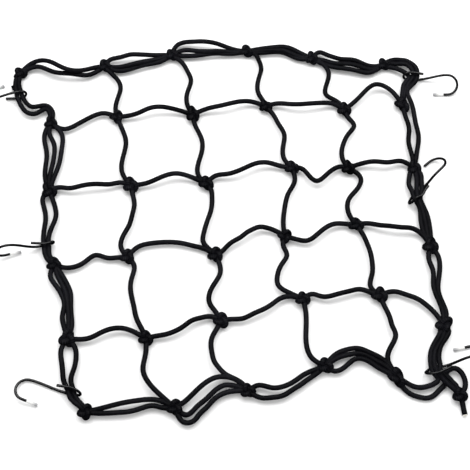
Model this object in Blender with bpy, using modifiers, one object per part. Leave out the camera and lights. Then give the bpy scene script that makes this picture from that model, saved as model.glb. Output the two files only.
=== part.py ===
"""Elastic cargo net: a knotted net of braided cord, five cells by five, lying loosely on a flat surface,
with six bent wire hooks hung round its border and a plastic cap on the tips of five of them.

The net is one solid: its cords run from knot to knot, each with its own sideways bows and its own rise over
the surface, and every knot is a ridged lump with a flat underside. Lengths in the tables are millimetres.
"""

import math

import bmesh
import bpy
import numpy as np
from mathutils import Vector

MM = 0.001
TUBE_SIDES = 6  # of a cord's and a wire's solid
ORIGIN_KNOT = "32"  # the part's origin is the middle of this knot's flat underside

# The cord, straight from one place of its table to the next
CORD_R = 2.5

# A knot: a lump with three ridges, cut flat where it rests
KNOT_R = 6.7
KNOT_HALF_H = 6.0
KNOT_RIDGE = 0.15  # share of the radius by which a ridge stands out and a groove falls in
KNOT_RIDGES = 3
KNOT_SEGMENTS = 9
KNOT_RINGS = 5
KNOT_Z = KNOT_HALF_H * math.cos(math.radians(180 / KNOT_RINGS))  # the lowest ring lies on the surface

NET_KEPT = 0.79  # share of the joined net's triangles that is kept

# Cords gathered in a hook's eye: two side by side, and a third between or on top of them
GATHER_Z = 7.0
GATHER_PITCH = 4.5  # between the middles of two gathered cords, which press on each other

# The hooks
WIRE_R = 1.3
EYE_CLEAR = 5.2  # from a gathered cord's middle to the wire's middle
EYE_TURN_DEG = 30.0
UNDER_RISE = 0.3  # of a leg from under the first gathered cord to where it comes out from under the last
CLIMB_AT = 0.7  # share of a leg's length at which it has most of its end's height
CLIMBED = 0.75  # the share of the height that it has there
BEND_R = 10.2  # of the hook's round end
BEND_TURN_DEG = 20.0
CAP_R = 1.55
CAP_LENGTH = 10.5
CAP_ROUND = 0.5
CAP_SIDES = 12
CAP_GAP = 0.3
LYING_Z = 1.9  # of the middle of a cap's nose that lies on the surface

# name: x, y, direction of the first ridge in degrees. TL to TR is the far side, BL to BR the near one
KNOTS = {
    "TL": (-228, 187, 110),
    "T1": (-139, 196, 90),
    "T2": (-68, 210, 100),
    "T3": (12, 215, 80),
    "T4": (82, 206, 90),
    "TR": (158, 198, 95),
    "R1": (175, 148, 60),
    "R2": (182, 73, 90),
    "R3": (192, -14, 75),
    "R4": (198, -97, 40),
    "BR": (207, -165, 90),
    "B4": (150, -148, 60),
    "B3": (84, -137, 90),
    "B2": (12, -161, 100),
    "B1": (-55, -177, 70),
    "BL": (-137, -181, 60),
    "L4": (-158, -110, 80),
    "L3": (-176, -34, 90),
    "L2": (-187, 47, 110),
    "L1": (-191, 126, 90),
    "11": (-123, 133, 60),
    "12": (-44, 136, 95),
    "13": (32, 146, 100),
    "14": (114, 142, 85),
    "21": (-105, 53, 95),
    "22": (-29, 55, 80),
    "23": (58, 73, 90),
    "24": (115, 73, 90),
    "31": (-105, -26, 75),
    "32": (-19, -24, 75),
    "33": (49, -4, 40),
    "34": (120, 9, 90),
    "41": (-84, -110, 85),
    "42": (-13, -92, 70),
    "43": (65, -70, 90),
    "44": (139, -66, 75),
}

# from, to, how far the cord bows to its left at equal shares of the way, rise of its middle
CORDS = (
    # the net's rows
    ("L1", "11", -9, -5, 2, 6, 1),
    ("11", "12", 0.5, 2, 6, 7.5, 6.5, 4, 6),
    ("12", "13", 4, 4, 6, 7, 6),
    ("13", "14", 3.5, 2, 1, 2.5, 5, 6, 6),
    ("14", "R1", 8, 18, 25, 21, 5),
    ("L2", "21", 2.5, 0, 0.5, 1.5, 1.5, 1.5, 3.5, 5),
    ("21", "22", 1, 6, 10, 7, 5),
    ("22", "23", 6.5, 5, 5, 7.5, 10, 9, 4, 6),
    ("23", "24", -0.5, -9.5, -17, -11.5, -3.5, 1, 4),
    ("24", "R2", 4, 5, 4, 7, 5),
    ("L3", "31", -4.5, -4.5, 0, 5.5, 1.5, 0.5, 0),
    ("31", "32", 11, 14, 15, 15, 13.5, 10.5, 7, 0),
    ("32", "33", 2, 6, 8.5, 10, 13, 15, 16, 13.5, 8.5, 4),
    ("33", "34", -5, -9, -5, 1, 4, 2.5, 3),
    ("34", "R3", 4.5, 5, 6.5, 8.5, 11.5, 9, 5),
    ("L4", "41", -1, 0, 5, 9, 9.5, 6, 3),
    ("41", "42", 0, -1, -0.5, 2, 6, 7, 6.5, 3),
    ("42", "43", -1.5, -4, -2.5, -1, 2, 6, 5.5, 3),
    ("43", "44", 4.5, 1, 1, 3, 5, 6.5, 3.5, 3),
    ("44", "R4", 10, 12, 13, 11, 7, 1),
    # its columns
    ("T1", "11", 5, 10, 11, 6, 1, 3),
    ("11", "21", 3, 4, -2, -6, 2),
    ("21", "31", 2.5, 4.5, 3, 0.5, -5, -7, 2),
    ("31", "41", 4.5, 0.5, -3.5, -4.5, -4.5, -4.5, -2, 3),
    ("41", "B1", -6, -14, -13, -7, 3),
    ("T2", "12", 8, 10, 10, 2, -2, 3),
    ("12", "22", 0, 2.5, 4, 1.5, -4, -6.5, 3),
    ("22", "32", 4, 4, 3, 1, -2.5, -6, -9, -10.5, -6, 2),
    ("32", "42", 3, 3, -2.5, -8.5, -10, -5, 2),
    ("42", "B2", -8, -15, -18, -19.5, -20, -18, -14.5, -7.5, -2, 3),
    ("T3", "13", 8.5, 9.5, 9.5, 8, 4, 0, -2.5, -2.5, -0.5, 3),
    ("13", "23", 4, 5, 6, 0, -4, 2),
    ("23", "33", 4, -1, -3, -3, 3),
    ("33", "43", -4, -3, -11, -17.5, -19.5, -11.5, 2),
    ("43", "B3", -1, -4, -8, -11, -10, 3),
    ("T4", "14", 7, 7, -1, -9, -2, 3),
    ("14", "24", 3.5, 9, 3, -2.5, -5.5, -5, 2),
    ("24", "34", 11, 6, -5, -6, 3),
    ("34", "44", 3, 4, 4, 2.5, -1, -6, 3),
    ("44", "B4", 1.5, 3.5, 5, 5.5, 7, 3, -3, -5, -2.5, 2),
    # the far side
    ("TL", "T1", 8.5, 11, 9, 3.5, -3.5, -7.5, -7.5, -4.5, -1, 11),
    ("TL", "T1", 6, -4, -8, -10, 4),
    ("T1", "T2", 7, 7, 6.5, 6.5, 5, 3.5, 2.5, 2, 1.5, 5),
    ("T1", "T2", -5, -6, -5, -3, 5),
    ("T1", "T2", -9, -9, -7, -6, 1),
    ("T2", "T3", 13.5, 15, 14, 13, 11.5, 9.5, 6.5, 3.5, 1.5, 5),
    ("T2", "T3", 5, 2, 0, 0, -1, 4),
    ("T2", "T3", -2, -2, -1, -2, 1),
    ("T3", "T4", 4, 6, 8, 5, 5),
    ("T3", "T4", 2, 4, 4, 0, 3),
    ("T3", "T4", 0, 3, 3, -2, 0),
    ("T4", "TR", 8.5, 5.5, 2, -0.5, -0.5, -0.5, -2.5, -4, -3, 5),
    ("T4", "TR", -2, -6, -6, -7, -8, 5),
    ("T4", "TR", -7, -10, -11, -12, 2),
    # the right side
    ("R1", "R2", 1, 2, -1, 0, 2),
    ("R3", "R4", -4, -2, -4, -2, 1, 2),
    ("R3", "R4", 5.5, 5, 2, -0.5, 1.5, 4, 3),
    # the near side
    ("B4", "B3", -11.5, -16.5, -19, -21, -19, -14, 4),
    ("B4", "B3", -9, -13, -17, -15, -10, 2),
    ("B4", "B3", -3.5, -7, -11.5, -12, -3, 3.5, 1),
    ("B3", "B2", 0.5, 2, 5.5, 7, 4.5, -2, 3),
    ("B3", "B2", 4, 7, 10, 12.5, 14.5, 13, 10, 1),
    ("B2", "B1", -13, -17.5, -18.5, -16.5, -12.5, -7.5, -3, 4),
    ("B2", "B1", -7, -10, -7, -1, 4, 9, 2),
    ("B2", "B1", -2, -3, -3, -1.5, 2, 7, 11, 16, 16, 1),
    ("B1", "BL", -8, -8, -6, -3, 3),
    ("B1", "BL", -0.5, -3, -1, 1.5, 2, 2, 1.5, 1),
    # the left side
    ("L4", "L3", 1, 1, -3, -2, 2, 5.5, 2),
    ("L4", "L3", -4, -6, -6, -2, 4),
    ("L4", "L3", -6, -7.5, -9, -10.5, -8.5, -5, 1),
    ("L2", "L1", 4, 4, 3, 5, 6, 2),
    ("L2", "L1", 0, -3, -5, -4, 1, 4),
    ("L2", "L1", -5, -10, -12, -12, 1),
)

# where a hook's eye gathers the border: x, y, direction of the border, direction of the hook, cords,
# distance of the outer cords from the eye's middle
EYES = {
    "TR": (188.5, 182.3, -75, -0.3, 3, 4.6),
    "MR": (182.2, 38.9, -85, 42.6, 3, 3.2),
    "BR": (186.6, -142.2, -98, 12.4, 3, 4),
    "BL": (-151.2, -161.3, 110, 161, 2, 2.3),
    "ML": (-185.1, -13.2, 100, 197.6, 2, 2.3),
    "TL": (-226.5, 158.6, 112, 196.5, 2, 2.3),
}

# from, eye, to, place in the eye (1 outside, -1 inside, 0 on top), then how far the cord bows to its left
# at equal shares of the way to the eye, and as many of the way on
EYE_CORDS = (
    # the outer cord passes beside the next knot
    (
        "TR", "TR", "R2", 1, 6, 9, 11, 12, 13, 13.5, 13, 12, 10.5, 7.5,
        -3, -10, -7, -3.5, -1.5, 0.5, 3, 3.5, 2.5, 1.5,
    ),
    ("TR", "TR", "R1", 0, 5, 8, 11, 9, -1, -2, -2, -1),
    ("TR", "TR", "R1", -1, 1, 3, 3, -3, -3, -2),
    ("R2", "MR", "R3", 1, 5, 5, 4, 3, 1, 3, 3, 2),
    ("R2", "MR", "R3", 0, 1, 1, 0, 1, 1, 0),
    ("R2", "MR", "R3", -1, -4, -5, -5, -2, 2, 0, -2, -2),
    ("R4", "BR", "BR", 1, 5, 4, 2, -0.5, -2, -2.5, -2.5, -1.5, -0.5, 1, 1.5, 2, 2.5, 2.5, 3, 3, 2, 1.5),
    ("R4", "BR", "BR", 0, 1, -3, -4, -1, -1, 0),
    ("BL", "BL", "L4", 1, 0, 1, 2, 2, 4, 5, 6, 6),
    ("BL", "BL", "L4", -1, -1, 0, 1, 1, 1, -3, -6, -6),
    ("L3", "ML", "L2", 1, 2, 3, 3.5, 3, 2.5, 1, 1, 1, 0.5, 1.5, 4, 5.5),
    ("L3", "ML", "L2", -1, 1, 2, 1, -2, -7, -5),
    ("L1", "TL", "TL", 1, -4.5, -8, -9, 3, 6.5, 7.5, 6.5, 5, 2.5, 0.5, 1.5, 2, 3, 3.5, 3.5, 3.5, 3, 2),
    ("L1", "TL", "TL", -1.25, -10, -10, 2, 3, 1, 2, 2, 1),
)

# eye, leg over the border (1) or under it (-1), how far left of the eye's middle its tail starts and right of
# it its leg, tail and how far left its end lies, how far the leg stays low under the border's cords, leg,
# straight run to the tip, height of the leg's end and of the round end's, side to which the round end turns
# (1 left, -1 right), whether the tip has a cap
HOOKS = (
    ("TR", -1, 1, 10, -0.8, 9, 35.7, 4.2, 10.6, 1.9, -1, True),
    ("MR", -1, -3.9, 13.4, -1, 13.5, 40, 6.4, 14, 1.9, 1, False),
    ("BR", -1, -3.9, 13.7, -1.2, 7.5, 40, 5.7, 17.2, 1.9, 1, True),
    ("BL", -1, -1.6, 12.8, 0.7, 0, 39.8, 4.5, 1.9, 5.5, 1, True),
    ("ML", -1, 1.9, 13.4, -3.2, 5, 38.8, 2.6, 24.4, 4, 1, True),
    ("TL", 1, 0.5, 14.4, -3.2, 0, 35, 11.4, 10.6, 1.9, -1, True),
)

# border cords given place by place: from, the places each passes, and the knot it runs to or how it ends
LOOPS = (
    (
        "R4",
        (
            (194.5, -103.6, 5.2), (190.6, -110.2, 5.6), (186.2, -117.3, 6), (183.4, -123.8, 6.3),
            (182.4, -129.7, 6), (182.4, -135.6, 5.8), (183, -141, 6), (186.1, -146.4, 6.1),
            (188.2, -150.2, 6), (185.2, -153.6, 5.5), (179.3, -156.2, 5), (171.8, -157.6, 4.6),
            (165.4, -156.7, 4.6), (160.0, -154.0, 4.8), (155.2, -150.9, 4.8),
        ),
        "B4",
    ),
    (
        "B4",
        (
            (155.4, -157.3, 3.6), (162.0, -163.2, 2.8), (170.6, -166.3, 2.6), (177.9, -167.0, 2.6),
            (184.6, -163.8, 2.6), (190.1, -158.4, 2.6), (195.2, -153.6, 2.6), (197.0, -148.0, 3),
            (196.5, -143.5, 4.2), (200.0, -140.4, 5), (204.8, -139.2, 5), (209.2, -141.8, 4.8),
            (212.3, -147.5, 4.6), (213.2, -154.2, 4.6), (211.3, -160.0, 4.8),
        ),
        "BR",
    ),
    (
        "BR",
        (
            (208.8, -170.1, 3.6), (209.6, -175.6, 2.8), (210.5, -183.0, 2.6),
        ),
        "cut",
    ),
    (
        "TL",
        (
            (-230.7, 179.9, 3.2), (-231.4, 175.2, 2.8), (-233.2, 171.2, 2.6), (-236, 169.9, 2.6),
        ),
        "sealed",
    ),
)


def bowed(start, end, bows):
    """The plan points between start and end, at equal shares of the way, each pushed to the left by its bow."""
    start = np.array(start, float)
    end = np.array(end, float)
    way = end - start
    left = np.array([-way[1], way[0]]) / np.linalg.norm(way)
    count = len(bows) + 1
    return [start + way * (i + 1) / count + left * bow for i, bow in enumerate(bows)]


def cord_route(row):
    """A cord from knot to knot, rising in its middle."""
    start, end, *bows, rise = row
    plan = [np.array(KNOTS[start][:2], float)]
    plan += bowed(KNOTS[start][:2], KNOTS[end][:2], bows)
    plan += [np.array(KNOTS[end][:2], float)]
    last = len(plan) - 1
    return [
        (x, y, KNOT_Z + rise * math.sin(math.pi * i / last) ** 2) for i, (x, y) in enumerate(plan)
    ]


def top_rise(spread):
    """How far a third cord lies above two that are this far from the middle between them."""
    return math.sqrt(max(0, GATHER_PITCH**2 - spread**2))


def eye_place(eye, place):
    """Where a gathered cord runs through its eye."""
    x, y, border, hook, _, spread = EYES[eye]
    across = math.radians(border + (90 if math.cos(math.radians(hook - border - 90)) > 0 else -90))
    side = spread * place
    height = GATHER_Z + (0 if place else top_rise(spread))
    return x + side * math.cos(across), y + side * math.sin(across), height


def eye_route(row):
    """A border cord from knot to eye to knot."""
    start, eye, end, place, *bows = row
    middle = eye_place(eye, place)
    half = len(bows) // 2
    points = [(*KNOTS[start][:2], KNOT_Z)]
    for i, (x, y) in enumerate(bowed(KNOTS[start][:2], middle[:2], bows[:half])):
        points.append((x, y, KNOT_Z + (middle[2] - KNOT_Z) * (i + 1) / (half + 1)))
    points.append(middle)
    for i, (x, y) in enumerate(bowed(middle[:2], KNOTS[end][:2], bows[half:])):
        points.append((x, y, middle[2] + (KNOT_Z - middle[2]) * (i + 1) / (half + 1)))
    points.append((*KNOTS[end][:2], KNOT_Z))
    return points


def loop_route(row):
    """A border cord from its knot over the places of its row to its other knot, or to its free end."""
    start, places, end = row
    last = [(*KNOTS[end][:2], KNOT_Z)] if end in KNOTS else []
    return [(*KNOTS[start][:2], KNOT_Z), *places, *last]


def hook_route(row):
    """The wire from the cut tail, round the border, along the leg and round the bend, and the tip's end."""
    eye, over, shift, tail, tail_left, under, leg, tip_run, leg_z, bend_z, turn, _ = row
    x, y, border, heading, cords, spread = EYES[eye]
    widen = 1 / abs(math.sin(math.radians(heading - border)))
    middles = [(-spread * widen, GATHER_Z), (spread * widen, GATHER_Z)]
    if cords == 3:
        middles.append((0, GATHER_Z + top_rise(spread)))

    def round_border(angle):
        """The point of the eye that faces this way, a fixed distance outside the gathered cords."""
        u, z = math.cos(angle), math.sin(angle)
        far = max(middles, key=lambda m: m[0] * u + m[1] * z)
        return far[0] + EYE_CLEAR * widen * u, far[1] + EYE_CLEAR * z

    count = round(180 / EYE_TURN_DEG)
    turns = [90 + EYE_TURN_DEG * i for i in range(count + 1)]
    if over == 1:
        turns.reverse()
    ring = [round_border(math.radians(angle)) for angle in turns]
    local = [(tail, tail_left, ring[0][1]), (tail / 2, (shift + tail_left) / 2, ring[0][1])]
    local += [(u, shift * (1 - 2 * i / count), z) for i, (u, z) in enumerate(ring)]
    if under:
        local.append((under, -shift, ring[-1][1] + UNDER_RISE))
    local.append((leg * CLIMB_AT, -shift, ring[-1][1] + (leg_z - ring[-1][1]) * CLIMBED))
    drop = (bend_z - leg_z) / (2 * BEND_R)
    swing = turn * math.sqrt(1 - drop**2)
    for i in range(round(180 / BEND_TURN_DEG) + 1):
        angle = math.radians(BEND_TURN_DEG * i)
        out, across = BEND_R * math.sin(angle), BEND_R * (1 - math.cos(angle))
        local.append((leg + out, -shift + across * swing, leg_z + across * drop))
    tip_drop = (bend_z - LYING_Z) * tip_run / (tip_run + CAP_GAP + CAP_LENGTH)
    end = np.array(local[-1])
    local.append(end - (tip_run, 0, tip_drop))
    ahead = math.radians(heading)
    placed = [
        (
            x + u * math.cos(ahead) - s * math.sin(ahead),
            y + u * math.sin(ahead) + s * math.cos(ahead),
            z,
        )
        for u, s, z in local
    ]
    return placed


def stand_at_origin(parts):
    """Moves the whole part so that the underside of the knot named by ORIGIN_KNOT is at the origin."""
    origin = bpy.data.objects.new("origin", None)
    parts.objects.link(origin)
    x, y, _ = KNOTS[ORIGIN_KNOT]
    origin.location = (-x * MM, -y * MM, 0)
    for piece in parts.objects:
        if piece.type == "MESH":
            piece.parent = origin


def collection(name):
    group = bpy.data.collections.new(name)
    bpy.context.scene.collection.children.link(group)
    return group


def material(name, color, roughness, metallic=0.0):
    made = bpy.data.materials.new(name)
    made.use_nodes = True
    shader = made.node_tree.nodes["Principled BSDF"]
    shader.inputs["Base Color"].default_value = (*color, 1)
    shader.inputs["Roughness"].default_value = roughness
    shader.inputs["Metallic"].default_value = metallic
    return made


def tube(name, points, radius, group):
    """A closed tube along the points, as a mesh of TUBE_SIDES sides."""
    curve = bpy.data.curves.new(name, "CURVE")
    curve.dimensions = "3D"
    curve.bevel_depth = radius * MM
    curve.bevel_resolution = TUBE_SIDES // 2 - 2
    curve.use_fill_caps = True
    spline = curve.splines.new("POLY")
    spline.points.add(len(points) - 1)
    for point, place in zip(spline.points, points):
        point.co = (*(np.array(place) * MM), 1)
    guide = bpy.data.objects.new(f"{name}_guide", curve)
    bpy.context.scene.collection.objects.link(guide)
    graph = bpy.context.evaluated_depsgraph_get()
    mesh = bpy.data.meshes.new_from_object(guide.evaluated_get(graph))
    bpy.data.objects.remove(guide)
    welded = bmesh.new()
    welded.from_mesh(mesh)
    bmesh.ops.remove_doubles(welded, verts=welded.verts, dist=1e-6)
    bmesh.ops.recalc_face_normals(welded, faces=welded.faces)
    welded.to_mesh(mesh)
    welded.free()
    made = bpy.data.objects.new(name, mesh)
    group.objects.link(made)
    return made


def knot_lump(name, x, y, first_ridge, group):
    """A round lump with ridges that run over it from pole to pole, cut flat at the surface it lies on."""
    lump = bmesh.new()
    bmesh.ops.create_uvsphere(
        lump, u_segments=KNOT_SEGMENTS, v_segments=KNOT_RINGS, radius=1.0
    )
    for vert in lump.verts:
        around = math.atan2(vert.co.y, vert.co.x)
        ridge = 1 + KNOT_RIDGE * math.cos(KNOT_RIDGES * (around - math.radians(first_ridge)))
        vert.co.x = (x + vert.co.x * KNOT_R * ridge) * MM
        vert.co.y = (y + vert.co.y * KNOT_R * ridge) * MM
        vert.co.z = max(0.0, KNOT_Z + vert.co.z * KNOT_HALF_H) * MM
    mesh = bpy.data.meshes.new(name)
    lump.to_mesh(mesh)
    lump.free()
    made = bpy.data.objects.new(name, mesh)
    group.objects.link(made)
    return made


def outer_skin(mesh):
    """Keeps the largest connected skin, so no sealed pocket is left between cords."""
    skin = bmesh.new()
    skin.from_mesh(mesh)
    bmesh.ops.dissolve_degenerate(skin, dist=1e-5, edges=skin.edges)
    bmesh.ops.triangulate(skin, faces=skin.faces)
    left = set(skin.verts)
    islands = []
    while left:
        island = {left.pop()}
        edge = list(island)
        while edge:
            near = {e.other_vert(v) for v in edge for e in v.link_edges} - island
            island |= near
            edge = list(near)
        left -= island
        islands.append(island)
    largest = max(islands, key=len)
    stray = [v for island in islands if island is not largest for v in island]
    bmesh.ops.delete(skin, geom=stray, context="VERTS")
    skin.to_mesh(mesh)
    skin.free()
    print(f"net: {len(mesh.polygons)} triangles, {len(islands) - 1} pockets closed")


def build_net(parts, cutters, finish):
    """All the cords and knots, joined in one solid."""
    routes = [cord_route(row) for row in CORDS]
    routes += [eye_route(row) for row in EYE_CORDS]
    routes += [loop_route(row) for row in LOOPS]
    for i, route in enumerate(routes):
        tube(f"cord_{i}", route, CORD_R, cutters)
    for name, (x, y, first_ridge) in KNOTS.items():
        lump = knot_lump(f"knot_{name}", x, y, first_ridge, cutters)
    # the last knot carries the union
    cutters.objects.unlink(lump)
    bpy.context.scene.collection.objects.link(lump)
    join = lump.modifiers.new("join", "BOOLEAN")
    join.operation = "UNION"
    join.operand_type = "COLLECTION"
    join.collection = cutters
    join.solver = "EXACT"
    bpy.context.view_layer.update()
    graph = bpy.context.evaluated_depsgraph_get()
    mesh = bpy.data.meshes.new_from_object(lump.evaluated_get(graph))
    bpy.data.objects.remove(lump)
    for helper in list(cutters.objects):
        bpy.data.objects.remove(helper)
    outer_skin(mesh)
    mesh.name = "net"
    mesh.materials.clear()
    mesh.materials.append(finish)
    mesh.shade_smooth()
    mesh.set_sharp_from_angle(angle=math.radians(50))
    net = bpy.data.objects.new("net", mesh)
    parts.objects.link(net)
    thinned = net.modifiers.new("thinned", "DECIMATE")
    thinned.ratio = NET_KEPT


def build_hook(index, row, parts, wire_finish, cap_finish):
    wire = hook_route(row)
    hook = tube(f"hook_{index}", wire, WIRE_R, parts)
    hook.data.materials.append(wire_finish)
    hook.data.shade_smooth()
    hook.data.set_sharp_from_angle(angle=math.radians(65))
    if row[-1]:
        build_cap(index, wire, parts, cap_finish)


def build_cap(index, wire, parts, finish):
    """A round cap in line with the wire's end, a hair off it."""
    end = Vector(wire[-1])
    ahead = (end - Vector(wire[-2])).normalized()
    middle = end + ahead * (CAP_GAP + CAP_LENGTH / 2)
    bpy.ops.mesh.primitive_cylinder_add(
        vertices=CAP_SIDES, radius=CAP_R * MM, depth=CAP_LENGTH * MM, location=middle * MM
    )
    cap = bpy.context.object
    cap.name = f"hook_cap_{index}"
    cap.rotation_mode = "QUATERNION"
    cap.rotation_quaternion = ahead.to_track_quat("Z", "Y")
    rounded = cap.modifiers.new("rounded", "BEVEL")
    rounded.width = CAP_ROUND * MM
    rounded.segments = 2
    rounded.limit_method = "ANGLE"
    cap.data.materials.append(finish)
    cap.data.shade_smooth()
    for holder in list(cap.users_collection):
        holder.objects.unlink(cap)
    parts.objects.link(cap)


def main():
    for old in list(bpy.data.objects):
        bpy.data.objects.remove(old)
    parts = collection("cargo_net")
    cutters = collection("net_pieces")
    cutters.hide_render = True
    cord_finish = material("braided_cord", (0.012, 0.012, 0.015), 0.75)
    wire_finish = material("coated_wire", (0.01, 0.01, 0.011), 0.35)
    cap_finish = material("cap_plastic", (0.85, 0.85, 0.83), 0.4)
    build_net(parts, cutters, cord_finish)
    for index, row in enumerate(HOOKS, start=1):
        build_hook(index, row, parts, wire_finish, cap_finish)
    stand_at_origin(parts)


main()
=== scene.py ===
"""Looks of an elastic cargo net: braided cords, tied knots and bent wire hooks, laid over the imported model.

It is laid out as an add-on and run as a script. One operator makes each group of pieces, and main() calls
them in order. Lengths in the tables and of the shapes are millimetres. Those of the settings, of the studio
and in the mesh code are metres.
"""

import math

import bmesh
import bpy
import numpy as np
from bpy.props import FloatProperty, FloatVectorProperty, IntProperty, PointerProperty
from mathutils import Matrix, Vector


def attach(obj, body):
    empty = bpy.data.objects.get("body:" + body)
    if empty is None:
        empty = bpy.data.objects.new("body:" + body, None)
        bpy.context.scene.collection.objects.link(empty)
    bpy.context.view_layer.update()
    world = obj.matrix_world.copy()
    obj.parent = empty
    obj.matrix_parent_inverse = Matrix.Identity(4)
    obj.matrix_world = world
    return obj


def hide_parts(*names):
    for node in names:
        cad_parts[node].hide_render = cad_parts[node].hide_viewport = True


bl_info = {
    "name": "Elastic cargo net",
    "version": (1, 0, 0),
    "blender": (4, 5, 0),
    "location": "View3D > Sidebar > Cargo net",
    "description": "Braided cords, knots and wire hooks of an elastic cargo net, and a pale studio for them",
    "category": "Object",
}

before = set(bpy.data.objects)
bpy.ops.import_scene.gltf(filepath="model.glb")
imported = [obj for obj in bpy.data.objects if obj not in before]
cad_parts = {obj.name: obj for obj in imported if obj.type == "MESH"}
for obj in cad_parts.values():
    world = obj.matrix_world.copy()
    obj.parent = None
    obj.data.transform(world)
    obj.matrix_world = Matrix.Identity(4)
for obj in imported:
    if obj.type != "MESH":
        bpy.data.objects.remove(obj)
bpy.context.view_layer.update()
BODY = "root"
MM = 0.001
TURN = 2 * math.pi

# ---------------------------------------------------------------- where things lie
ORIGIN_KNOT = "32"  # the origin is under this knot
KNOT_Z = 4.854  # height of a knot's middle, and of the cords that run into it
GATHER_Z = 7.0  # height of the two outer cords in a hook's eye
GATHER_PITCH = 4.5  # between the middles of two gathered cords, which press on each other

# name: x, y, direction of the first loop in degrees. TL to TR is the far side, BL to BR the near one
KNOTS = {
    "TL": (-228, 187, 110),
    "T1": (-139, 196, 90),
    "T2": (-68, 210, 100),
    "T3": (12, 215, 80),
    "T4": (82, 206, 90),
    "TR": (158, 198, 95),
    "R1": (175, 148, 60),
    "R2": (182, 73, 90),
    "R3": (192, -14, 75),
    "R4": (198, -97, 40),
    "BR": (207, -165, 90),
    "B4": (150, -148, 60),
    "B3": (84, -137, 90),
    "B2": (12, -161, 100),
    "B1": (-55, -177, 70),
    "BL": (-137, -181, 60),
    "L4": (-158, -110, 80),
    "L3": (-176, -34, 90),
    "L2": (-187, 47, 110),
    "L1": (-191, 126, 90),
    "11": (-123, 133, 60),
    "12": (-44, 136, 95),
    "13": (32, 146, 100),
    "14": (114, 142, 85),
    "21": (-105, 53, 95),
    "22": (-29, 55, 80),
    "23": (58, 73, 90),
    "24": (115, 73, 90),
    "31": (-105, -26, 75),
    "32": (-19, -24, 75),
    "33": (49, -4, 40),
    "34": (120, 9, 90),
    "41": (-84, -110, 85),
    "42": (-13, -92, 70),
    "43": (65, -70, 90),
    "44": (139, -66, 75),
}

# how many times as long as the others these knots are, and along which of their loops: the first, or the
# first or second one to its left
DRAWN_OUT = {
    "TL": (0.85, 0),
    "R1": (1.35, 2),
    "R2": (1.2, 0),
    "R3": (1.35, 0),
    "R4": (1.25, 0),
    "B4": (1.4, 2),
    "L4": (1.15, 0),
    "L2": (1.15, 0),
    "12": (1.2, 0),
    "21": (1.15, 0),
    "22": (1.2, 2),
    "42": (1.1, 2),
    "44": (1.15, 2),
}

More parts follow.
